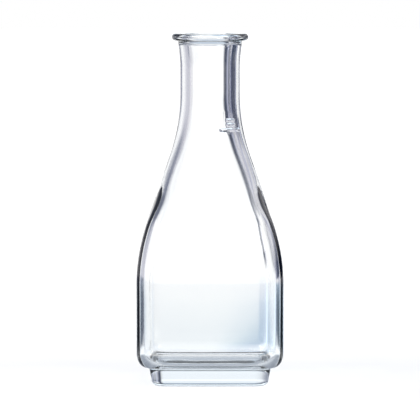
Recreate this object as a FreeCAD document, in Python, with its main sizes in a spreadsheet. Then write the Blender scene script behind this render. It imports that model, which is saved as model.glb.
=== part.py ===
"""Square glass jug: a round neck with a rolled lip over a square body on a smaller square foot."""
import FreeCAD
import Part
import Sketcher
import math
import os

# Driving sizes in millimetres and degrees.  Heights are measured from the plane it stands on.
SIZES = {
    "total_height": 200.0,
    "body_width": 84.7,          # across the flats, where the shoulder starts
    "body_corner": 13.8,         # radius of the body's upright corners
    "body_draft": 0.15,          # each side leans in by this much down to the underside
    "underside_round": 6.6,      # from the sides to the underside
    "shoulder_start": 57.8,
    "shoulder_bend": 35.7,       # height of the curve that leads out of the body
    "neck_bend": 36.7,           # height of the curve that leads into the neck
    "foot_height": 10.3,
    "foot_step": 7.3,            # from the body's sides in to the foot
    "foot_corner": 10.0,
    "foot_draft": 1.2,
    "foot_round": 3.2,
    "neck_diameter": 34.1,
    "neck_facet": 5.0,           # what is left of each flat where the shoulder is round
    "neck_length": 34.5,         # straight part, up to the rim
    "flare_height": 16.0,        # length over which the neck widens below the lip
    "flare_reach": 1.6,          # what that adds to its radius
    "lip_reach": 3.3,            # from the flare out to the lip's edge
    "lip_thickness": 4.0,
    "mouth_round": 1.2,
    "wall": 4.0,
    "neck_wall": 5.4,
    "floor_thickness": 12.0,
    "floor_round": 5.5,
    "mark_drop": 20.0,           # the fill line's distance below the straight neck
    "mark_bead": 1.0,            # radius of its bead
    "mark_rise": 0.6,            # what stands out of that
    "mark_turn": 40.0,           # from the middle of the front side round to its middle
    "mark_spread": 44.0,         # angle that it covers
    "short_mark_spread": 16.0,   # the same for each short line over it
    "mark_pitch": 2.6,           # from one line up to the next
}

NECK_START = "(sizes.total_height - sizes.neck_length)"
SHOULDER = f"({NECK_START} - sizes.shoulder_start)"
# Height of a straight flank that would narrow the body to the neck as fast as this one does.
FLANK = f"({SHOULDER} - sizes.shoulder_bend / 2 - sizes.neck_bend / 2)"
BEND_STEPS = 6                   # straight-sided rings in each bend of the shoulder
# Shares of the straight flank's height: the sections on it that are still square, and the first round one.
FLANK_SQUARES, FIRST_ROUND = (0.2, 0.4, 0.6), 0.82
SHORTENING, FADING = 3, 1.5      # powers: how late the flats start to shorten, and how softly they end
ROUND_SHARE = 0.95               # the most of the ledge over the foot that the underside's round may take
BODY_FLAT = "(sizes.body_width - 2 * sizes.body_corner)"
ORIGIN = (-1, 1)                 # a sketch's own origin and upright axis, as its constraints name them
V_AXIS = -2
LEVEL_TOLERANCE = 0.001

doc = FreeCAD.newDocument("square_jug")
sheet = doc.addObject("Spreadsheet::Sheet", "sizes")
jug = doc.addObject("PartDesign::Body", "jug")


def fill_sheet():
    """Give each driving size a cell with its own name."""
    for row, (name, value) in enumerate(SIZES.items(), start=1):
        sheet.set(f"A{row}", name)
        sheet.set(f"B{row}", str(value))
        sheet.setAlias(f"B{row}", name)
    doc.recompute()


# Sketches

def new_sketch(name, role, lift="0"):
    """Start a sketch on one of the body's origin planes, raised by an expression."""
    sketch = jug.newObject("Sketcher::SketchObject", name)
    plane = next(part for part in jug.Origin.OriginFeatures if part.Role == role)
    sketch.AttachmentSupport = [(plane, "")]
    sketch.MapMode = "FlatFace"
    sketch.setExpression("AttachmentOffset.Base.z", lift)
    return sketch


def tie(sketch, kind, *places):
    """Add a constraint that has no size."""
    sketch.addConstraint(Sketcher.Constraint(kind, *places))


def drive(sketch, kind, *places, to):
    """Add a dimension and bind it to an expression."""
    value = float(sketch.evalExpression(to))
    index = sketch.addConstraint(Sketcher.Constraint(kind, *places, value))
    sketch.setExpression(f"Constraints[{index}]", to)


def arc(x, y, radius, start, end):
    """An arc in a sketch's plane, between two angles in degrees."""
    circle = Part.Circle(FreeCAD.Vector(x, y, 0), FreeCAD.Vector(0, 0, 1), radius)
    return Part.ArcOfCircle(circle, math.radians(start), math.radians(end))


def line(start, end):
    return Part.LineSegment(FreeCAD.Vector(*start, 0), FreeCAD.Vector(*end, 0))


def turned(x, y, quarters):
    """A point turned about the origin by quarter turns."""
    for _ in range(quarters):
        x, y = -y, x
    return x, y


def square_section(name, height, width, flat):
    """A square with rounded corners: each corner's arc is followed by the flat after it."""
    sketch = new_sketch(name, "XY_Plane", height)
    half = float(sketch.evalExpression(width)) / 2
    middle = float(sketch.evalExpression(flat)) / 2
    for side in range(4):
        sketch.addGeometry(arc(*turned(middle, middle, side), half - middle, 90 * side, 90 * side + 90))
        sketch.addGeometry(line(turned(middle, half, side), turned(-middle, half, side)))
    for piece in range(8):
        tie(sketch, "Tangent", piece, 2, (piece + 1) % 8, 1)
    for side, direction in ((1, "Horizontal"), (3, "Vertical"), (5, "Horizontal"), (7, "Vertical")):
        tie(sketch, direction, side)
    for corner in (2, 4, 6):
        tie(sketch, "Equal", 0, corner)
    tie(sketch, "Equal", 1, 3)
    tie(sketch, "Symmetric", 1, 1, 5, 1, *ORIGIN)
    drive(sketch, "Distance", 1, to=flat)
    drive(sketch, "DistanceX", 3, 1, 7, 1, to=width)
    return sketch


def round_section(name, height, diameter, facet):
    """A circle of eight arcs, four of which take the place of the flats."""
    sketch = new_sketch(name, "XY_Plane", height)
    radius = float(sketch.evalExpression(diameter)) / 2
    half_facet = math.degrees(math.asin(float(sketch.evalExpression(facet)) / 2 / radius))
    for side in range(4):
        top = 90 + 90 * side
        sketch.addGeometry(arc(0, 0, radius, top - 90 + half_facet, top - half_facet))
        sketch.addGeometry(arc(0, 0, radius, top - half_facet, top + half_facet))
    for piece in range(7):
        tie(sketch, "Coincident", piece, 3, *ORIGIN)
    tie(sketch, "Equal", 7, 0)
    for piece in range(8):
        tie(sketch, "Coincident", piece, 2, (piece + 1) % 8, 1)
    drive(sketch, "Radius", 0, to=f"{diameter} / 2")
    for side, direction, axis in ((1, "Horizontal", "DistanceX"), (5, "Horizontal", "DistanceX"),
                                  (3, "Vertical", "DistanceY"), (7, "Vertical", "DistanceY")):
        tie(sketch, direction, side, 1, side, 2)
        first, last = (2, 1) if side in (1, 3) else (1, 2)
        drive(sketch, axis, side, first, side, last, to=facet)
    return sketch


def neck_outline():
    """Half of the solid neck and its lip, drawn beside the axis."""
    sketch = new_sketch("neck_outline", "XZ_Plane")
    low = SIZES["total_height"] - SIZES["neck_length"]
    bend = SIZES["total_height"] - SIZES["lip_thickness"] - SIZES["flare_height"]
    top = SIZES["total_height"]
    half = SIZES["neck_diameter"] / 2
    bead_radius = SIZES["lip_thickness"] / 2
    edge = half + SIZES["flare_reach"] + SIZES["lip_reach"] - bead_radius
    flare_radius = SIZES["flare_height"] ** 2 / 2 / SIZES["flare_reach"]
    flare_end = 180 - math.degrees(SIZES["flare_height"] / flare_radius)
    sketch.addGeometry(line((0, low), (half, low)))
    sketch.addGeometry(line((half, low), (half, bend)))
    sketch.addGeometry(arc(half + flare_radius, bend, flare_radius, flare_end, 180))
    under = top - 2 * bead_radius
    sketch.addGeometry(line((half + SIZES["flare_reach"], under), (edge, under)))
    sketch.addGeometry(arc(edge, top - bead_radius, bead_radius, -90, 90))
    sketch.addGeometry(line((edge, top), (0, top)))
    sketch.addGeometry(line((0, top), (0, low)))
    side, flare, underside, bead, rim, axis = 1, 2, 3, 4, 5, 6
    tie(sketch, "Coincident", 0, 1, axis, 2)
    tie(sketch, "Coincident", 0, 2, side, 1)
    tie(sketch, "Tangent", side, 2, flare, 2)
    tie(sketch, "Coincident", flare, 1, underside, 1)
    tie(sketch, "Tangent", underside, 2, bead, 1)
    tie(sketch, "Tangent", bead, 2, rim, 1)
    tie(sketch, "Coincident", rim, 2, axis, 1)
    for level in (0, underside, rim):
        tie(sketch, "Horizontal", level)
    for upright in (side, axis):
        tie(sketch, "Vertical", upright)
    tie(sketch, "PointOnObject", axis, 1, V_AXIS)
    drive(sketch, "DistanceX", *ORIGIN, side, 1, to="sizes.neck_diameter / 2")
    drive(sketch, "DistanceX", flare, 2, flare, 1, to="sizes.flare_reach")
    drive(sketch, "Radius", bead, to="sizes.lip_thickness / 2")
    drive(sketch, "DistanceX", *ORIGIN, bead, 3,
          to="sizes.neck_diameter / 2 + sizes.flare_reach + sizes.lip_reach - sizes.lip_thickness / 2")
    drive(sketch, "DistanceY", *ORIGIN, 0, 1, to=NECK_START)
    drive(sketch, "DistanceY", *ORIGIN, axis, 1, to="sizes.total_height")
    drive(sketch, "DistanceY", side, 1, side, 2,
          to="sizes.neck_length - sizes.lip_thickness - sizes.flare_height")
    return sketch


def bore_outline():
    """Half of the neck's bore, a rectangle beside the axis."""
    sketch = new_sketch("bore_outline", "XZ_Plane")
    low, top = SIZES["total_height"] - SIZES["neck_length"], SIZES["total_height"]
    half = SIZES["neck_diameter"] / 2 - SIZES["neck_wall"]
    corners = [(0, low), (half, low), (half, top), (0, top)]
    for number in range(4):
        sketch.addGeometry(line(corners[number], corners[(number + 1) % 4]))
        tie(sketch, ("Horizontal", "Vertical")[number % 2], number)
    for number in range(4):
        tie(sketch, "Coincident", number, 2, (number + 1) % 4, 1)
    tie(sketch, "PointOnObject", 0, 1, V_AXIS)
    drive(sketch, "DistanceX", 0, 1, 0, 2, to="sizes.neck_diameter / 2 - sizes.neck_wall")
    drive(sketch, "DistanceY", *ORIGIN, 0, 1, to=NECK_START)
    drive(sketch, "DistanceY", *ORIGIN, 2, 2, to="sizes.total_height")
    return sketch


def mark_outline(number, drop):
    """The cross-section of one raised line, on the shoulder's skin that far below the neck."""
    sketch = new_sketch(f"mark_outline_{number}", "XZ_Plane")
    upright = FreeCAD.Rotation(FreeCAD.Vector(0, 1, 0), 0)
    sketch.AttachmentOffset = FreeCAD.Placement(FreeCAD.Vector(), upright)
    sketch.setExpression("AttachmentOffset.Rotation.Angle", "sizes.mark_turn - 90")
    widening = f"(sizes.body_width - sizes.neck_diameter) / 2 * {drop} ^ 2 / (2 * sizes.neck_bend) / {FLANK}"
    places = (("DistanceX", f"sizes.neck_diameter / 2 + {widening} + sizes.mark_rise - sizes.mark_bead"),
              ("DistanceY", f"{NECK_START} - {drop}"))
    centre = FreeCAD.Vector(*(float(sketch.evalExpression(to)) for _, to in places), 0)
    sketch.addGeometry(Part.Circle(centre, FreeCAD.Vector(0, 0, 1), SIZES["mark_bead"]))
    for kind, to in places:
        drive(sketch, kind, *ORIGIN, 0, 3, to=to)
    drive(sketch, "Radius", 0, to="sizes.mark_bead")
    return sketch


# Features

def feature(kind, name, profile):
    made = jug.newObject(f"PartDesign::{kind}", name)
    made.Profile = profile
    return made


def prism(kind, name, profile, depth, draft):
    """Take a section straight down by a depth, each side leaning in by a draft on the way."""
    made = feature(kind, name, profile)
    made.Reversed = kind == "Pad"
    made.setExpression("Length", depth)
    made.setExpression("TaperAngle", f"-atan({draft} / ({depth}))")
    doc.recompute()


def loft(kind, name, sections):
    """Join sections with a stack of straight-sided rings."""
    made = feature(kind, name, sections[0])
    made.Sections = sections[1:]
    made.Ruled = True
    doc.recompute()


def spin(kind, name, profile, angle="360"):
    """Turn an outline about the jug's upright axis."""
    made = feature(kind, name, profile)
    made.ReferenceAxis = (profile, ["V_Axis"])
    made.Midplane = True
    made.setExpression("Angle", angle)
    doc.recompute()


def round_edges(name, height, radius, innermost=False):
    """Round the level edges at a height: all of them, or only the innermost ring."""
    level = float(jug.evalExpression(height))
    base = jug.Tip
    found = []
    for number, edge in enumerate(base.Shape.Edges, start=1):
        box = edge.BoundBox
        if abs(box.ZMin - level) < LEVEL_TOLERANCE and abs(box.ZMax - level) < LEVEL_TOLERANCE:
            found.append((box.DiagonalLength, f"Edge{number}"))
    if innermost:
        found = [min(found)]
    made = jug.newObject("PartDesign::Fillet", name)
    made.Base = (base, [edge_name for _, edge_name in found])
    made.setExpression("Radius", radius)
    doc.recompute()


# Parts of the jug

def shoulder_sections(name, thinner_body, thinner_neck):
    """Sections up the shoulder; the two walls are what its body and neck lose on each side."""
    body = f"(sizes.body_width - 2 * {thinner_body})"
    narrowing = f"({body} - (sizes.neck_diameter - 2 * {thinner_neck}))"
    straight = f"({SHOULDER} - sizes.shoulder_bend - sizes.neck_bend)"
    turned_round = f"(sizes.shoulder_bend + {FIRST_ROUND} * {straight})"
    shares = [step / BEND_STEPS for step in range(BEND_STEPS + 1)]
    places = []                  # how far up the shoulder, and the share of the narrowing done by then
    for share in shares:
        rise = f"({share} * sizes.shoulder_bend)"
        places.append((rise, f"({share / 2} * {rise} / {FLANK})"))
    for share in FLANK_SQUARES + (FIRST_ROUND,):
        rise = f"(sizes.shoulder_bend + {share} * {straight})"
        places.append((rise, f"(({rise} - sizes.shoulder_bend / 2) / {FLANK})"))
    first_round = len(places) - 1
    for share in reversed(shares):
        rise = f"({SHOULDER} - {share} * sizes.neck_bend)"
        places.append((rise, f"(1 - {share ** 2 / 2} * sizes.neck_bend / {FLANK})"))
    sections = []
    for number, (rise, done) in enumerate(places):
        label, height = f"{name}_{number}", f"sizes.shoulder_start + {rise}"
        width = f"({body} - {narrowing} * {done})"
        if number < first_round:
            kept = f"(1 - ({rise} / {turned_round}) ^ {SHORTENING}) ^ {FADING}"
            flat = f"sizes.neck_facet + ({BODY_FLAT} - sizes.neck_facet) * {kept}"
            sections.append(square_section(label, height, width, flat))
        else:
            sections.append(round_section(label, height, width, "sizes.neck_facet"))
    return sections


def make_body():
    """The upright walls, from the shoulder down to the step over the foot."""
    top = square_section("body_top", "sizes.shoulder_start", "sizes.body_width", BODY_FLAT)
    prism("Pad", "body", top, "sizes.shoulder_start - sizes.foot_height", "sizes.body_draft")
    widest = f"{ROUND_SHARE} * sizes.foot_step"
    round_edges("underside", "sizes.foot_height", f"min(sizes.underside_round; {widest})")


def make_foot():
    width = "(sizes.body_width - 2 * (sizes.body_draft + sizes.foot_step))"
    top = square_section("foot_top", "sizes.foot_height", width, f"{width} - 2 * sizes.foot_corner")
    prism("Pad", "foot", top, "sizes.foot_height", "sizes.foot_draft")
    round_edges("foot_edge", "0", "sizes.foot_round")


def make_shoulder_and_neck():
    loft("AdditiveLoft", "shoulder", shoulder_sections("shoulder", "0", "0"))
    spin("Revolution", "neck", neck_outline())


def make_cavity():
    """The hollow inside: a square room, the inside of the shoulder and the neck's bore."""
    top = square_section("room_top", "sizes.shoulder_start", "sizes.body_width - 2 * sizes.wall", BODY_FLAT)
    prism("Pocket", "room", top, "sizes.shoulder_start - sizes.floor_thickness", "sizes.body_draft")
    loft("SubtractiveLoft", "shoulder_inside", shoulder_sections("inside", "sizes.wall", "sizes.neck_wall"))
    spin("Groove", "bore", bore_outline())
    round_edges("floor_edge", "sizes.floor_thickness", "sizes.floor_round")
    round_edges("mouth", "sizes.total_height", "sizes.mouth_round", innermost=True)


def make_fill_mark():
    """Raised lines round a part of the upper shoulder: a long one, and short ones over it."""
    for number, spread in enumerate(("mark_spread", "short_mark_spread", "short_mark_spread")):
        outline = mark_outline(number, f"(sizes.mark_drop - {number} * sizes.mark_pitch)")
        spin("Revolution", f"mark_{number}", outline, f"sizes.{spread}")


def check_model():
    """Stop if any object failed or the jug isn't one sound solid."""
    for made in doc.Objects:
        if "Invalid" in made.State or "Error" in made.State:
            raise RuntimeError(f"{made.Name} failed: {made.State}")
    if jug.Shape.isNull() or not jug.Shape.isValid() or len(jug.Shape.Solids) != 1:
        raise RuntimeError("the jug isn't one valid solid")


fill_sheet()
make_body()
make_foot()
make_shoulder_and_neck()
make_fill_mark()
make_cavity()
check_model()
os.makedirs("parts", exist_ok=True)
jug.Shape.exportStep("parts/jug.step")
print(f"jug: {jug.Shape.Volume / 1000:.1f} cm3 of glass, {len(jug.Shape.Faces)} faces")
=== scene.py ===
"""Square glass jug on a pale studio floor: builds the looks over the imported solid, in metres."""
import math
from collections import namedtuple

import bmesh
import bpy
from bpy.props import FloatProperty, FloatVectorProperty, PointerProperty
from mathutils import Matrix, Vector


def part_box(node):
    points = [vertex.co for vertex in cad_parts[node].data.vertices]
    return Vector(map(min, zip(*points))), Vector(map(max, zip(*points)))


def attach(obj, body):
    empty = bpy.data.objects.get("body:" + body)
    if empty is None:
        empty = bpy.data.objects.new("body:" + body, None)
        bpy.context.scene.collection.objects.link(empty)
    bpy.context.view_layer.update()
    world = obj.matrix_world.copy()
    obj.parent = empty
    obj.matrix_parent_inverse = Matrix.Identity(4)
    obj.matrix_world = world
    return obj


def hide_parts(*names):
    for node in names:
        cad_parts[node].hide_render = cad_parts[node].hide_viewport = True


bl_info = {
    "name": "Square Glass Jug",
    "version": (1, 0, 0),
    "blender": (4, 5, 0),
    "location": "View3D > Sidebar > Jug",
    "description": "Models a square glass jug with a round neck, and the studio that it stands in",
    "category": "Object",
}

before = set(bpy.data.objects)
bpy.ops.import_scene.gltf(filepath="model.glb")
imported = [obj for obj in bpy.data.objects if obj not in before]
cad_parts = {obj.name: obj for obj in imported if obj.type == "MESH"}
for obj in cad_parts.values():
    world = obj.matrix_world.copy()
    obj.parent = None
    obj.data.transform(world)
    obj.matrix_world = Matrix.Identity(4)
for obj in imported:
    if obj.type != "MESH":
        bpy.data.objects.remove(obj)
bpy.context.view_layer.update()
JUG_LOW, JUG_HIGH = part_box("jug")

MM = 0.001
CORNER_STEPS = 12                # edges round each corner of a ring
SIDE_STEPS = 10                  # edges along each side of a ring
RING_POINTS = 4 * (CORNER_STEPS + SIDE_STEPS)
SIDE_SHARE = 0.9                 # an edge at least this share of a side's length is the side itself
LEVEL_GAP = MM / 100             # points nearer to a level than this lie on it
TOUCHING = MM / 1000             # points closer than this become one

# One level of a wall: a square with rounded corners, blown towards a circle by roundness, 1 for a circle.
Ring = namedtuple("Ring", "height half corner roundness")


# Sizes and colours that a user would change

def length(name, description, default):
    """A length in metres, shown as a distance."""
    return FloatProperty(name=name, description=description, default=default, min=0.0, unit="LENGTH",
                         subtype="DISTANCE", precision=4)


class JugSizes(bpy.types.PropertyGroup):
    """The jug's sizes"""
    height: length("Height", "From the floor to the top of the lip", JUG_HIGH.z - JUG_LOW.z)
    width: length("Width", "Across the flat sides, where the shoulder starts", JUG_HIGH.x - JUG_LOW.x)
    body_corner: length("Body corner", "Radius of the upright corners", 13.8 * MM)
    body_draft: length("Body draft", "What each side leans in down to the underside", 0.15 * MM)
    shoulder_start: length("Shoulder start", "Height at which the sides begin to slope in", 57.8 * MM)
    shoulder_bend: length("Shoulder bend", "Height of the curve out of the body", 35.7 * MM)
    neck_bend: length("Neck bend", "Height of the curve into the neck", 36.7 * MM)
    neck_length: length("Neck length", "Straight part, up to the rim", 34.5 * MM)
    neck_radius: length("Neck radius", "Outside the straight neck", 17.05 * MM)
    flare_height: length("Flare height", "Length over which the neck widens", 16 * MM)
    flare_reach: length("Flare reach", "What the flare adds to the neck's radius", 1.6 * MM)
    lip_reach: length("Lip reach", "From the flare out to the lip's edge", 3.3 * MM)
    lip_thickness: length("Lip thickness", "Height of the rolled lip", 4 * MM)
    mouth_round: length("Mouth round", "Radius of the mouth's inner edge", 1.4 * MM)
    underside_height: length("Underside round", "Height of the round under the body", 7.9 * MM)
    foot_height: length("Foot height", "From the floor to the step", 10.3 * MM)
    foot_step: length("Foot step", "From the body's sides in to the foot", 7.3 * MM)
    foot_corner: length("Foot corner", "Radius of the foot's corners", 10 * MM)
    foot_draft: length("Foot draft", "What each side of the foot leans in", 1.2 * MM)
    foot_round: length("Foot round", "Radius of the foot's lower edge", 3.2 * MM)
    step_round: length("Step round", "Radius in the corner over the foot", 1.15 * MM)
    underside_hollow: length("Underside hollow", "How far the underside is pressed in", 0.7 * MM)
    wall: length("Wall", "Glass in the sides", 4 * MM)
    neck_wall: length("Neck wall", "Glass in the neck", 5.4 * MM)
    floor_thickness: length("Floor thickness", "Glass under the drink", 12 * MM)
    floor_round: length("Floor round", "Radius between the inner floor and walls", 7 * MM)
    floor_dome: length("Floor dome", "How far the inner floor rises in its middle", 0.6 * MM)
    mark_drop: length("Mark drop", "The long raised line's distance below the neck", 20 * MM)
    mark_pitch: length("Mark pitch", "From one raised line up to the next", 2.6 * MM)
    mark_rise: length("Mark rise", "How far the lines stand out", 0.6 * MM)
    mark_width: length("Mark width", "Width of a raised line", 1.6 * MM)
    side_crown: FloatProperty(name="Side crown", description="How far the flat sides are blown round",
                              default=0.05, min=0.0, max=1.0, subtype="FACTOR")
    mark_turn: FloatProperty(name="Mark turn", description="From the front round to the raised lines",
                             default=math.radians(40), subtype="ANGLE", unit="ROTATION")
    mark_spread: FloatProperty(name="Mark spread", description="Angle that the long raised line covers",
                               default=math.radians(44), subtype="ANGLE", unit="ROTATION")
    short_mark_spread: FloatProperty(name="Short mark spread", description="The same for the short lines",
                                     default=math.radians(16), subtype="ANGLE", unit="ROTATION")


class StudioLooks(bpy.types.PropertyGroup):
    """Colours of the glass, and where the camera stands"""
    glass_tint: FloatVectorProperty(name="Glass tint", description="What thick glass lets through",
                                    default=(0.80, 0.93, 1.0), size=3, min=0.0, max=1.0, subtype="COLOR")
    glass_depth: FloatProperty(name="Glass depth", description="How strongly thick glass is tinted",
                               default=6.0, min=0.0)
    waviness: length("Waviness", "Unevenness of the inner wall", 0.12 * MM)
    camera_distance: length("Camera distance", "From the jug's axis to the camera", 2.53)
    camera_height: length("Camera height", "Of the camera over the floor", 0.266)
    aim_height: length("Aim height", "Of the point that the camera looks at", 98.6 * MM)
    frame_width: length("Frame width", "What the picture takes in at the jug", 241.4 * MM)


def sizes():
    """The sizes as the panel shows them."""
    return bpy.context.scene.jug_sizes


def looks():
    """The looks as the panel shows them."""
    return bpy.context.scene.jug_looks


# Working in edit mode

def start_mesh(name):
    """Begin an empty mesh object and open it in edit mode."""
    bpy.ops.object.select_all(action="DESELECT")
    made = bpy.data.objects.new(name, bpy.data.meshes.new(name))
    bpy.context.scene.collection.objects.link(made)
    made.select_set(True)
    bpy.context.view_layer.objects.active = made
    bpy.ops.object.mode_set(mode="EDIT")
    return made


def pick(elements, kind, wanted):
    """Select just the vertices, edges or faces that pass a test."""
    bpy.ops.mesh.select_mode(type=kind)
    bpy.ops.mesh.select_all(action="DESELECT")
    mesh = bmesh.from_edit_mesh(bpy.context.edit_object.data)
    for element in getattr(mesh, elements):
        if wanted(element):
            element.select = True
    mesh.select_flush_mode()
    bmesh.update_edit_mesh(bpy.context.edit_object.data)


def selected_reach():
    """The largest distance of the selection from the upright axis along X."""
    mesh = bmesh.from_edit_mesh(bpy.context.edit_object.data)
    return max(point.co.x for point in mesh.verts if point.select)


def add_ring(ring):
    """Lay a square at its level, round its corners, divide its sides and blow it towards a circle."""
    bpy.ops.mesh.select_mode(type="VERT")
    bpy.ops.mesh.select_all(action="DESELECT")
    bpy.ops.mesh.primitive_plane_add(size=2 * ring.half, location=(0, 0, ring.height))
    bpy.ops.mesh.bevel(offset=ring.corner, offset_type="OFFSET", segments=CORNER_STEPS, affect="VERTICES")
    mesh = bmesh.from_edit_mesh(bpy.context.edit_object.data)
    long_enough = SIDE_SHARE * 2 * (ring.half - ring.corner)
    sides = {edge.index for edge in mesh.edges if edge.select and edge.calc_length() > long_enough}
    pick("edges", "EDGE", lambda edge: edge.index in sides)
    bpy.ops.mesh.subdivide(number_cuts=SIDE_STEPS - 1)
    pick_latest(1)
    bpy.ops.mesh.delete(type="ONLY_FACE")
    pick_latest(1)
    if ring.roundness > 0:
        bpy.ops.transform.tosphere(value=ring.roundness)
    fit = ring.half / selected_reach()
    bpy.ops.transform.resize(value=(fit, fit, 1), center_override=(0, 0, ring.height))


def pick_latest(rings):
    """Select the rings that were added last."""
    mesh = bmesh.from_edit_mesh(bpy.context.edit_object.data)
    mesh.verts.index_update()
    mesh.edges.index_update()
    first = len(mesh.verts) - rings * RING_POINTS
    pick("verts", "VERT", lambda point: point.index >= first)


def build_wall(name, rings):
    """Join a stack of rings into an open wall."""
    wall = start_mesh(name)
    for number, ring in enumerate(rings):
        add_ring(ring)
        if number:
            pick_latest(2)
            bpy.ops.mesh.bridge_edge_loops(type="SINGLE")
    return wall


# The jug's levels

FOOT_ROUND_LEVELS, FOOT_SIDE_LEVELS, STEP_LEVELS = 7, 4, 4
UNDERSIDE_LEVELS, SIDE_LEVELS, SHOULDER_LEVELS, NECK_LEVELS = 10, 8, 44, 14
LIP_LEVELS, MOUTH_LEVELS, FLOOR_LEVELS = 12, 5, 9
ROUNDEST_CORNER = 0.86           # of the half width, where the section turns into a circle
CORNERS_GROW = (0.25, 0.63)      # shares of the shoulder's height over which its corners grow
SIDES_TURN = (0.31, 0.6)         # and over which its sides turn round
LIP_FILLET = 0.4 * MM            # the lip's underside slopes by this to its edge
MOUTH_FLARE = 0.72               # the bore widens by this share of the outer flare
INNER_CORNER_GAIN = 0.5 * MM     # glass gathers in the corners, which makes them rounder inside


def steps(count):
    """Shares from just over 0 up to 1."""
    return [number / count for number in range(1, count + 1)]


def smooth(value, start, end):
    """0 before start, 1 after end, and an easy curve between them."""
    share = min(1.0, max(0.0, (value - start) / (end - start)))
    return share * share * (3 - 2 * share)


def neck_start(size):
    """The height at which the neck runs straight."""
    return size.height - size.neck_length


def narrowing(size, rise):
    """The share of the way from the body's width to the neck's, at a rise over the shoulder's start."""
    span = neck_start(size) - size.shoulder_start
    flank = span - size.shoulder_bend / 2 - size.neck_bend / 2
    if rise <= size.shoulder_bend:
        return rise ** 2 / (2 * size.shoulder_bend) / flank
    if rise <= span - size.neck_bend:
        return (rise - size.shoulder_bend / 2) / flank
    return 1 - (span - rise) ** 2 / (2 * size.neck_bend) / flank


def shoulder_rings(size, half_body, corner, half_neck):
    """Levels up the shoulder: its corners grow, and it turns round."""
    span = neck_start(size) - size.shoulder_start
    rings = []
    for share in steps(SHOULDER_LEVELS):
        half = half_body - (half_body - half_neck) * narrowing(size, share * span)
        kept = corner / half_body
        grown = half * (kept + (ROUNDEST_CORNER - kept) * smooth(share, *CORNERS_GROW))
        roundness = size.side_crown + (1 - size.side_crown) * smooth(share, *SIDES_TURN)
        rings.append(Ring(size.shoulder_start + share * span, half, grown, roundness))
    return rings


def foot_rings(size):
    """Levels of the foot, from the floor up to the step."""
    top = size.width / 2 - size.body_draft - size.foot_step
    bottom = top - size.foot_draft
    crown = size.side_crown
    rings = []
    for share in [0.0] + steps(FOOT_ROUND_LEVELS):
        turn = share * math.pi / 2
        inset = size.foot_round * (1 - math.sin(turn))
        corner = size.foot_corner - size.foot_draft - inset
        rings.append(Ring(size.foot_round * (1 - math.cos(turn)), bottom - inset, corner, crown))
    low, high = size.foot_round, size.foot_height - size.step_round
    for share in steps(FOOT_SIDE_LEVELS):
        lean = share * size.foot_draft
        corner = size.foot_corner - size.foot_draft + lean
        rings.append(Ring(low + share * (high - low), bottom + lean, corner, crown))
    for share in steps(STEP_LEVELS):
        turn = share * math.pi / 2
        reach = size.step_round * (1 - math.cos(turn))
        height = high + size.step_round * math.sin(turn)
        rings.append(Ring(height, top + reach, size.foot_corner + reach, crown))
    return rings


def body_rings(size):
    """Levels from the step round the underside and up the sides to the shoulder."""
    low = size.width / 2 - size.body_draft
    inner = low - size.foot_step + size.step_round
    rings = []
    for share in steps(UNDERSIDE_LEVELS):
        turn = share * math.pi / 2
        corner = size.foot_corner + (size.body_corner - size.foot_corner) * math.sin(turn)
        height = size.foot_height + size.underside_height * (1 - math.cos(turn))
        rings.append(Ring(height, inner + (low - inner) * math.sin(turn), corner, size.side_crown))
    start = size.foot_height + size.underside_height
    for share in steps(SIDE_LEVELS):
        height = start + share * (size.shoulder_start - start)
        rings.append(Ring(height, low + share * size.body_draft, size.body_corner, size.side_crown))
    return rings


def round_ring(height, radius):
    """A level of the neck or the lip."""
    return Ring(height, radius, ROUNDEST_CORNER * radius, 1.0)


def flare(size, height, reach):
    """What the flare adds to a radius at a height."""
    top = size.height - size.lip_thickness
    share = max(0.0, (height - top + size.flare_height) / size.flare_height)
    return reach * share ** 2


def lip_rings(size):
    """Levels up the outside of the neck, round the rolled lip and in to the mouth."""
    low, top = neck_start(size), size.height - size.lip_thickness
    rings = []
    for share in steps(NECK_LEVELS):
        height = low + share * (top - LIP_FILLET - low)
        rings.append(round_ring(height, size.neck_radius + flare(size, height, size.flare_reach)))
    bead = size.lip_thickness / 2
    centre = size.neck_radius + size.flare_reach + size.lip_reach - bead
    for share in [0.0] + steps(LIP_LEVELS):
        turn = (share - 0.5) * math.pi
        height = size.height - bead + bead * math.sin(turn)
        rings.append(round_ring(height, centre + bead * math.cos(turn)))
    mouth = size.neck_radius - size.neck_wall + size.flare_reach * MOUTH_FLARE
    for share in steps(MOUTH_LEVELS):
        turn = share * math.pi / 2
        drop = size.mouth_round * (1 - math.cos(turn))
        rings.append(round_ring(size.height - drop, mouth + size.mouth_round * (1 - math.sin(turn))))
    return rings


def room_rings(size):
    """Levels of the hollow inside, from its floor up to the mouth."""
    wall, corner = size.wall, size.body_corner - size.wall + INNER_CORNER_GAIN
    low = size.width / 2 - size.body_draft - wall
    crown = size.side_crown
    rings = []
    for share in [0.0] + steps(FLOOR_LEVELS):
        turn = share * math.pi / 2
        height = size.floor_thickness + size.floor_round * (1 - math.cos(turn))
        rings.append(Ring(height, low - size.floor_round * (1 - math.sin(turn)), corner, crown))
    start = size.floor_thickness + size.floor_round
    for share in steps(SIDE_LEVELS):
        height = start + share * (size.shoulder_start - start)
        rings.append(Ring(height, low + share * size.body_draft, corner, crown))
    bore = size.neck_radius - size.neck_wall
    rings += shoulder_rings(size, size.width / 2 - wall, corner, bore)
    low, high = neck_start(size), size.height - size.mouth_round
    for share in steps(NECK_LEVELS)[:-1]:
        height = low + share * (high - low)
        rings.append(round_ring(height, bore + flare(size, height, size.flare_reach * MOUTH_FLARE)))
    return rings


# The glass jug

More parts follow.
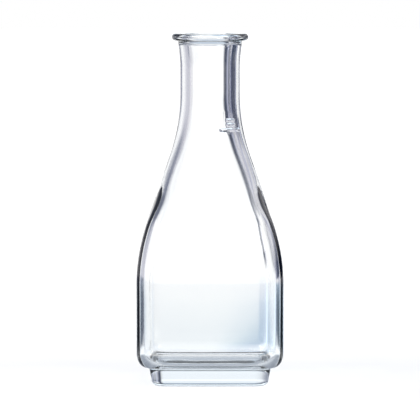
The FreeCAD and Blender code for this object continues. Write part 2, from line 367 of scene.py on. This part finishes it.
END_STEPS = ((0.95, 0.15), (0.88, 0.55), (0.8, 0.85), (0.7, 0.97), (0.5, 1.0), (0.2, 1.0))
MARK_PARTS = 3                   # points within one part of so many of a line's half width rise fully
MARK_MARGIN = math.radians(6)    # what is refined beyond the ends of the lines
MARK_ROWS, MARK_CUTS = 5, 4      # how many pitches high it is, and how often its faces are cut
SKIN_PARTS = 3                   # faces within one part of so many of the neck's wall belong to the outside
WAVE_LENGTH = 22 * MM


def close_end(height, rise):
    """Fill the open ring at a level, and draw its middle up or down in soft steps.

    Each step in END_STEPS is a share of the ring's width and the share of the rise that is reached there.
    """
    pick("verts", "VERT", lambda point: abs(point.co.z - height) < LEVEL_GAP)
    bpy.ops.mesh.edge_face_add()
    done, width = 0.0, 1.0
    for inward, share in END_STEPS:
        bpy.ops.mesh.extrude_region_move(TRANSFORM_OT_translate={"value": (0, 0, rise * (share - done))})
        fit = inward / width
        bpy.ops.transform.resize(value=(fit, fit, 1), center_override=(0, 0, height))
        done, width = share, inward


def raise_mark(size, number, spread):
    """Swell one line out of the shoulder, between two turns about the axis."""
    height = neck_start(size) - size.mark_drop + number * size.mark_pitch
    half_width = size.mark_width / 2

    def along(point):
        turn = math.atan2(point.co.x, -point.co.y)
        outside = Vector(point.co.xy).length > size.neck_radius
        level = abs(point.co.z - height) < half_width / MARK_PARTS
        return outside and level and abs(turn - size.mark_turn) < spread / 2

    pick("verts", "VERT", along)
    bpy.ops.transform.shrink_fatten(value=size.mark_rise, use_proportional_edit=True,
                                    proportional_edit_falloff="SPHERE", proportional_size=half_width)


def refine_mark_area(size):
    """Divide the shoulder's faces finely round the raised lines."""
    low = neck_start(size) - size.mark_drop - size.mark_pitch
    high = low + MARK_ROWS * size.mark_pitch

    def near(face):
        middle = face.calc_center_median()
        turn = math.atan2(middle.x, -middle.y)
        outside = middle.xy.length > size.neck_radius - size.neck_wall / SKIN_PARTS
        close = abs(turn - size.mark_turn) < size.mark_spread / 2 + MARK_MARGIN
        return outside and close and low < middle.z < high

    pick("faces", "FACE", near)
    bpy.ops.mesh.subdivide(number_cuts=MARK_CUTS, smoothness=0)


def make_wavy(made, strength):
    """Displace a mesh softly, as the inside of a glass wall is never quite even."""
    pattern = bpy.data.textures.new("glass_waves", type="CLOUDS")
    pattern.noise_scale = WAVE_LENGTH
    modifier = made.modifiers.new("waves", "DISPLACE")
    modifier.texture = pattern
    modifier.texture_coords = "LOCAL"
    modifier.strength = strength
    modifier.mid_level = 0.5
    bpy.ops.object.modifier_apply(modifier=modifier.name)


class JUG_OT_glass(bpy.types.Operator):
    """Model the jug: its outer skin, its hollow, its raised lines and its glass"""
    bl_idname = "jug.glass"
    bl_label = "Glass Jug"

    def execute(self, context):
        size = sizes()
        shoulder = shoulder_rings(size, size.width / 2, size.body_corner, size.neck_radius)
        rings = foot_rings(size) + body_rings(size) + shoulder + lip_rings(size)
        skin = build_wall("jug_glass", rings)
        close_end(0.0, size.underside_hollow)
        bpy.ops.object.mode_set(mode="OBJECT")
        hollow = build_wall("hollow", room_rings(size))
        close_end(size.floor_thickness, size.floor_dome)
        bpy.ops.object.mode_set(mode="OBJECT")
        make_wavy(hollow, looks().waviness)
        skin.select_set(True)
        context.view_layer.objects.active = skin
        bpy.ops.object.join()
        bpy.ops.object.mode_set(mode="EDIT")
        pick("edges", "EDGE", lambda edge: edge.is_boundary)
        bpy.ops.mesh.bridge_edge_loops(type="SINGLE")
        bpy.ops.mesh.select_all(action="SELECT")
        bpy.ops.mesh.remove_doubles(threshold=TOUCHING)
        bpy.ops.mesh.normals_make_consistent(inside=False)
        refine_mark_area(size)
        spreads = (size.mark_spread, size.short_mark_spread, size.short_mark_spread)
        for number, spread in enumerate(spreads):
            raise_mark(size, number, spread)
        bpy.ops.object.mode_set(mode="OBJECT")
        bpy.ops.object.shade_smooth()
        skin.data.materials.append(glass_material())
        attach(skin, "root")
        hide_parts("jug")
        return {"FINISHED"}


# Nodes that the materials and the studio share

def add_node(tree, kind, **inputs):
    """A new shader node, with inputs set to plain values or linked to other nodes' outputs."""
    node = tree.nodes.new("ShaderNode" + kind)
    for name, value in inputs.items():
        socket = node.inputs[name.replace("_", " ")]
        if isinstance(value, bpy.types.NodeSocket):
            tree.links.new(value, socket)
        else:
            socket.default_value = value
    return node


def set_mode(node, **settings):
    """The same node, with some of its settings changed."""
    for name, value in settings.items():
        setattr(node, name, value)
    return node


def share_between(tree, value, low, high, start=0.0, end=1.0):
    """A value between low and high turned into one between start and end."""
    share = add_node(tree, "MapRange", From_Min=low, From_Max=high, To_Min=start, To_Max=end, Value=value)
    return share.outputs["Result"]


def in_degrees(tree, operation, *values):
    """An inverse trigonometric function of the values, in degrees."""
    angle = set_mode(add_node(tree, "Math"), operation=operation)
    for number, value in enumerate(values):
        tree.links.new(value, angle.inputs[number])
    degrees = set_mode(add_node(tree, "Math"), operation="DEGREES")
    tree.links.new(angle.outputs["Value"], degrees.inputs[0])
    return degrees.outputs["Value"]


def blend_stops(tree, value, stops):
    """A colour that follows a value through a list of (value, colour) stops."""
    low, high = stops[0][0], stops[-1][0]
    ramp = add_node(tree, "ValToRGB", Fac=share_between(tree, value, low, high))
    elements = ramp.color_ramp.elements
    elements.remove(elements[1])
    for number, (place, colour) in enumerate(stops):
        share = (place - low) / (high - low)
        element = elements[0] if number == 0 else elements.new(share)
        element.position = share
        element.color = (*colour, 1)
    return ramp.outputs["Color"]


def mix_colours(tree, share, first, second):
    """The first colour at a share of 0, and the second at 1."""
    mix = set_mode(add_node(tree, "Mix"), data_type="RGBA")
    for socket, value in zip([slot for slot in mix.inputs if slot.enabled], (share, first, second)):
        tree.links.new(value, socket)
    return next(slot for slot in mix.outputs if slot.enabled)


def mix_shaders(tree, share, first, second):
    """The first shader at a share of 0, and the second at 1."""
    mix = add_node(tree, "MixShader", Fac=share)
    tree.links.new(first, mix.inputs[1])
    tree.links.new(second, mix.inputs[2])
    return mix.outputs["Shader"]


def uneven_group():
    """A soft cloudy pattern and the faint bumps that go with it, for materials that aren't quite even."""
    group = bpy.data.node_groups.get("uneven")
    if group:
        return group
    group = bpy.data.node_groups.new("uneven", "ShaderNodeTree")
    for name, kind, way in (("Scale", "Float", "INPUT"), ("Depth", "Float", "INPUT"),
                            ("Share", "Float", "OUTPUT"), ("Normal", "Vector", "OUTPUT")):
        group.interface.new_socket(name, in_out=way, socket_type="NodeSocket" + kind)
    asked = group.nodes.new("NodeGroupInput").outputs
    given = group.nodes.new("NodeGroupOutput").inputs
    place = add_node(group, "TexCoord")
    pattern = add_node(group, "TexNoise", Vector=place.outputs["Object"], Scale=asked["Scale"])
    bumps = add_node(group, "Bump", Distance=asked["Depth"], Height=pattern.outputs["Fac"])
    group.links.new(pattern.outputs["Fac"], given["Share"])
    group.links.new(bumps.outputs["Normal"], given["Normal"])
    return group


def add_uneven(tree, scale, depth):
    """The shared pattern, with so many patches to a metre and bumps of a depth in metres."""
    pattern = tree.nodes.new("ShaderNodeGroup")
    pattern.node_tree = uneven_group()
    pattern.inputs["Scale"].default_value = scale
    pattern.inputs["Depth"].default_value = depth
    return pattern.outputs


# The glass

GLASS_PATCHES, GLASS_BUMPS = 90, 0.01 * MM
WORN_FROM, WORN_TO, GLASS_WEAR = 0.5, 0.8, 0.03    # the upper part of the pattern is worn to this roughness
GLASS_IOR = 1.52
GLASS_SHADOW = (0.93, 0.95, 0.97, 1)


def glass_material():
    """Clear soda glass, a little blue where it is thick and a little worn in patches."""
    material = bpy.data.materials.new("clear_glass")
    material.use_nodes = True
    tree = material.node_tree
    surface = tree.nodes["Principled BSDF"]
    out = tree.nodes["Material Output"]
    surface.inputs["Base Color"].default_value = (1, 1, 1, 1)
    surface.inputs["Transmission Weight"].default_value = 1.0
    surface.inputs["IOR"].default_value = GLASS_IOR
    pattern = add_uneven(tree, GLASS_PATCHES, GLASS_BUMPS)
    worn = share_between(tree, pattern["Share"], WORN_FROM, WORN_TO, 0.0, GLASS_WEAR)
    tree.links.new(worn, surface.inputs["Roughness"])
    tree.links.new(pattern["Normal"], surface.inputs["Normal"])
    tint = (*looks().glass_tint, 1)
    depth = add_node(tree, "VolumeAbsorption", Color=tint, Density=looks().glass_depth)
    tree.links.new(depth.outputs["Volume"], out.inputs["Volume"])
    clear = add_node(tree, "BsdfTransparent", Color=GLASS_SHADOW)
    shadow = add_node(tree, "LightPath").outputs["Is Shadow Ray"]
    shader = mix_shaders(tree, shadow, surface.outputs["BSDF"], clear.outputs["BSDF"])
    tree.links.new(shader, out.inputs["Surface"])
    return material


# The studio round the jug

# Colours of its cards and flags, and of the light and shade painted on the table as the glass shows it,
# from dark to light.
DARK, INK, NIGHT, COAL = (0.02, 0.03, 0.07), (0.06, 0.09, 0.12), (0.07, 0.085, 0.12), (0.09, 0.11, 0.15)
SOOT, SHADE, LEAD, SLATE = (0.11, 0.13, 0.17), (0.10, 0.13, 0.20), (0.14, 0.19, 0.26), (0.15, 0.21, 0.28)
DUSK, DIM, ASH, STEEL = (0.17, 0.20, 0.26), (0.18, 0.20, 0.27), (0.27, 0.29, 0.34), (0.27, 0.35, 0.46)
PAINTED_FOOT_SHADOW, STONE, IRON, GREY = (0.30, 0.34, 0.40), (0.34, 0.38, 0.44), (0.30, 0.38, 0.46), (0.40, 0.42, 0.55)
RAIN, MIST, FOG, LILAC = (0.4, 0.5, 0.6), (0.45, 0.55, 0.66), (0.50, 0.60, 0.72), (0.55, 0.55, 0.62)
SKY, DOVE, WATER, CLOUD = (0.50, 0.58, 0.68), (0.58, 0.63, 0.70), (0.53, 0.66, 0.81), (0.55, 0.68, 0.82)
HAZE, PALE, FROST, ICE = (0.70, 0.76, 0.84), (0.80, 0.80, 0.84), (0.70, 0.82, 0.91), (0.76, 0.84, 0.94)
SNOW, FOAM, MILK, CREAM = (0.72, 0.84, 0.98), (0.78, 0.87, 0.98), (0.86, 0.95, 1.0), (0.97, 1.03, 1.07)
SILK, CHALK, PAPER = (1.0, 1.03, 1.04), (1.0, 1.05, 1.07), (1.04, 1.06, 1.07)
BESIDE, SALT, WHITE = (1.05, 1.10, 1.15), (1.09, 1.12, 1.12), (1.15, 1.15, 1.15)
GLEAM, SHEEN, GLARE = (0.92, 1.04, 1.18), (1.0, 1.2, 1.4), (1.1, 1.3, 1.5)

# What stands round the jug, in degrees clockwise from +Y: a white backdrop between dark flags.
LEVEL_CARDS = ((-180, WHITE), (-76, WHITE), (-64, LILAC), (-42, LILAC), (-28, PALE), (-18, WHITE),
               (11, WHITE), (13.5, DARK), (19, DARK), (21.5, GREY), (25, GREY), (28, DARK), (55, DARK),
               (66, GREY), (85, GREY), (100, DARK), (130, WHITE), (180, WHITE))
HIGH_CARDS = ((-180, WHITE), (-120, WHITE), (-90, LILAC), (-55, LILAC), (-40, DIM), (-22, DIM), (-5, SKY),
              (7, SKY), (11, DARK), (15, DARK), (20, PALE), (36, PALE), (41, GREY), (50, LILAC), (60, PALE),
              (80, PALE), (100, DARK), (130, WHITE), (180, WHITE))
HIGH_TURN = (4, 12)               # degrees up, over which the level cards give way to the high ones

# Painted light, shade and reflections that the table gives off itself as the glass shows it, in the same
# degrees.
NEAR_PAINTED_SHADING = ((-180, SHADE), (-100, SHADE), (-75, ASH), (-64, SOOT), (-54, NIGHT), (-40, COAL),
              (-33, HAZE), (-20, SILK), (1, CHALK), (4, MILK), (6, FROST), (9, CLOUD), (15, WATER),
              (19, SNOW), (24, SHEEN), (30, SHEEN), (36, RAIN), (41, INK), (56, INK), (65, LEAD),
              (75, IRON), (95, SHADE), (180, SHADE))
FAR_PAINTED_SHADING = ((-180, SHADE), (-100, SHADE), (-70, DOVE), (-62, STONE), (-54, DUSK), (-40, DUSK),
             (-30, HAZE), (-20, PAPER), (1, SALT), (4, CREAM), (7, ICE), (12, FOAM), (17, GLEAM),
             (21, GLARE), (28, GLARE), (34, FOG), (41, SLATE), (53, STEEL), (64, MIST), (78, MIST),
             (100, SHADE), (180, SHADE))
EDGE_PAINTED_SHADING = ((-180, SHADE), (-100, SHADE), (-76, PALE), (-64, DIM), (-44, DIM), (-34, GREY), (-26, PALE),
              (-18, WHITE), (26, WHITE), (34, GREY), (47, LILAC), (56, PALE), (70, PALE), (90, SHADE),
              (180, SHADE))


def all_round(colour):
    """Stops for one colour on all sides."""
    return ((-180, colour), (180, colour))


# Painted light and shade on the table from the jug outwards: painted shadow under the foot, painted light
# just beside it, then the rows above; each with the distances in metres over which it takes over from the
# last.
UNDER_PAINTED_SHADOW = all_round(PAINTED_FOOT_SHADOW)
TABLE_RINGS = (((0.028, 0.045), all_round(BESIDE)), ((0.08, 0.17), NEAR_PAINTED_SHADING), ((0.3, 0.55), FAR_PAINTED_SHADING),
               ((0.5, 0.85), EDGE_PAINTED_SHADING))
TABLE_FADE = (1.0, 1.6)           # metres, over which the table fades into the studio's cards
TABLE_SPREAD = 0.4                # sideways distances count this much
GLOW_TURN, TABLE_GLOW = (0.1, 0.5), (0.40, 0.75)    # the table itself glows more this many metres off
TABLE_PATCHES, TABLE_BUMPS, TABLE_PALE = 25, 0.2 * MM, (0.48, 0.52)
TABLE_SIZE = 16                   # metres

# Name, place, width in metres and power in watts of each lamp.
LAMPS = (("key", (-0.9, -0.7, 1.3), 0.8, 14), ("fill", (0.9, -0.9, 1.0), 0.9, 6))
SENSOR_WIDTH = 36                 # millimetres


def build_world():
    """White to the camera, and the studio's cards and flags to everything else."""
    world = bpy.data.worlds.new("studio")
    bpy.context.scene.world = world
    world.use_nodes = True
    tree = world.node_tree
    tree.nodes.clear()
    out = add_node(tree, "OutputWorld")
    place = add_node(tree, "TexCoord")
    split = add_node(tree, "SeparateXYZ", Vector=place.outputs["Generated"])
    turn = in_degrees(tree, "ARCTAN2", split.outputs["X"], split.outputs["Y"])
    rise = in_degrees(tree, "ARCSINE", split.outputs["Z"])
    level, high = (blend_stops(tree, turn, row) for row in (LEVEL_CARDS, HIGH_CARDS))
    cards = mix_colours(tree, share_between(tree, rise, *HIGH_TURN), level, high)
    seen = add_node(tree, "Background", Color=(1, 1, 1, 1)).outputs["Background"]
    round_about = add_node(tree, "Background", Color=cards).outputs["Background"]
    camera = add_node(tree, "LightPath").outputs["Is Camera Ray"]
    tree.links.new(mix_shaders(tree, camera, round_about, seen), out.inputs["Surface"])


def table_reach(tree, place):
    """The distance from the jug's axis, with sideways distances counted short."""
    squeeze = set_mode(add_node(tree, "VectorMath"), operation="MULTIPLY")
    squeeze.inputs[1].default_value = (TABLE_SPREAD, 1, 1)
    tree.links.new(place, squeeze.inputs[0])
    reach = set_mode(add_node(tree, "VectorMath"), operation="LENGTH")
    tree.links.new(squeeze.outputs["Vector"], reach.inputs[0])
    return reach.outputs["Value"]


def table_in_glass(tree, place, reach):
    """The table as the glass shows it: light and shade painted into a glow of its own, which fades further
    off.
    """
    split = add_node(tree, "SeparateXYZ", Vector=place)
    turn = in_degrees(tree, "ARCTAN2", split.outputs["X"], split.outputs["Y"])
    painted_shading = blend_stops(tree, turn, UNDER_PAINTED_SHADOW)
    for (start, end), row in TABLE_RINGS:
        outward = share_between(tree, reach, start, end)
        painted_shading = mix_colours(tree, outward, painted_shading, blend_stops(tree, turn, row))
    near = add_node(tree, "Emission", Color=painted_shading).outputs["Emission"]
    gone = add_node(tree, "BsdfTransparent").outputs["BSDF"]
    return mix_shaders(tree, share_between(tree, reach, *TABLE_FADE), near, gone)


def table_itself(tree, reach):
    """The table as the camera sees it: pale, with a painted glow of its own that grows further from the
    jug, and shaded by the jug.
    """
    strength = share_between(tree, reach, *GLOW_TURN, *TABLE_GLOW)
    glow = add_node(tree, "Emission", Color=(1, 1, 1, 1), Strength=strength)
    pattern = add_uneven(tree, TABLE_PATCHES, TABLE_BUMPS)
    pale = share_between(tree, pattern["Share"], 0.0, 1.0, *TABLE_PALE)
    cloth = add_node(tree, "BsdfDiffuse", Color=pale, Normal=pattern["Normal"])
    lit = add_node(tree, "AddShader")
    tree.links.new(glow.outputs["Emission"], lit.inputs[0])
    tree.links.new(cloth.outputs["BSDF"], lit.inputs[1])
    return lit.outputs["Shader"]


def floor_material():
    """A pale table that keeps a soft shadow; in the glass it shows painted light and shade of its own,
    which fade to the studio's cards further off.
    """
    material = bpy.data.materials.new("pale_table")
    material.use_nodes = True
    tree = material.node_tree
    tree.nodes.clear()
    out = add_node(tree, "OutputMaterial")
    place = add_node(tree, "TexCoord").outputs["Object"]
    reach = table_reach(tree, place)
    in_glass = table_in_glass(tree, place, reach)
    camera = add_node(tree, "LightPath").outputs["Is Camera Ray"]
    tree.links.new(mix_shaders(tree, camera, in_glass, table_itself(tree, reach)), out.inputs["Surface"])
    return material


class JUG_OT_studio(bpy.types.Operator):
    """Set up the pale table, the soft light and the camera"""
    bl_idname = "jug.studio"
    bl_label = "Studio"

    def execute(self, context):
        bpy.ops.mesh.primitive_plane_add(size=TABLE_SIZE, location=(0, 0, 0))
        table = context.object
        table.name = "table"
        table.data.materials.append(floor_material())
        build_world()
        for name, place, size, power in LAMPS:
            lamp(name, place, size, power)
        add_camera()
        context.scene.view_settings.view_transform = "Standard"
        return {"FINISHED"}


def lamp(name, place, size, power):
    """A soft square lamp that points at the jug's middle."""
    bpy.ops.object.light_add(type="AREA", location=place)
    made = bpy.context.object
    made.name = name
    made.data.size = size
    made.data.energy = power
    aim = Vector((0, 0, sizes().height / 2)) - Vector(place)
    made.rotation_euler = aim.to_track_quat("-Z", "Y").to_euler()


def add_camera():
    """Look along +Y from a little above, with the whole jug in the frame."""
    look = looks()
    place = Vector((0, -look.camera_distance, look.camera_height))
    aim = Vector((0, 0, look.aim_height)) - place
    bpy.ops.object.camera_add(location=place, rotation=aim.to_track_quat("-Z", "Y").to_euler())
    camera = bpy.context.object
    camera.data.sensor_width = SENSOR_WIDTH
    camera.data.lens = SENSOR_WIDTH * aim.length / look.frame_width
    bpy.context.scene.camera = camera


class JUG_PT_panel(bpy.types.Panel):
    """Lists the jug's pieces and sizes"""
    bl_idname = "JUG_PT_panel"
    bl_label = "Square Glass Jug"
    bl_space_type = "VIEW_3D"
    bl_region_type = "UI"
    bl_category = "Jug"

    def draw(self, context):
        for name in JugSizes.__annotations__:
            self.layout.prop(context.scene.jug_sizes, name)
        self.layout.operator(JUG_OT_glass.bl_idname)
        for name in StudioLooks.__annotations__:
            self.layout.prop(context.scene.jug_looks, name)
        self.layout.operator(JUG_OT_studio.bl_idname)


CLASSES = (JugSizes, StudioLooks, JUG_OT_glass, JUG_OT_studio, JUG_PT_panel)


def register():
    for made in CLASSES:
        bpy.utils.register_class(made)
    bpy.types.Scene.jug_sizes = PointerProperty(type=JugSizes)
    bpy.types.Scene.jug_looks = PointerProperty(type=StudioLooks)


def unregister():
    del bpy.types.Scene.jug_looks
    del bpy.types.Scene.jug_sizes
    for made in reversed(CLASSES):
        bpy.utils.unregister_class(made)


def main():
    """Build the jug and its studio."""
    register()
    bpy.ops.jug.glass()
    bpy.ops.jug.studio()


if __name__ == "__main__":
    main()
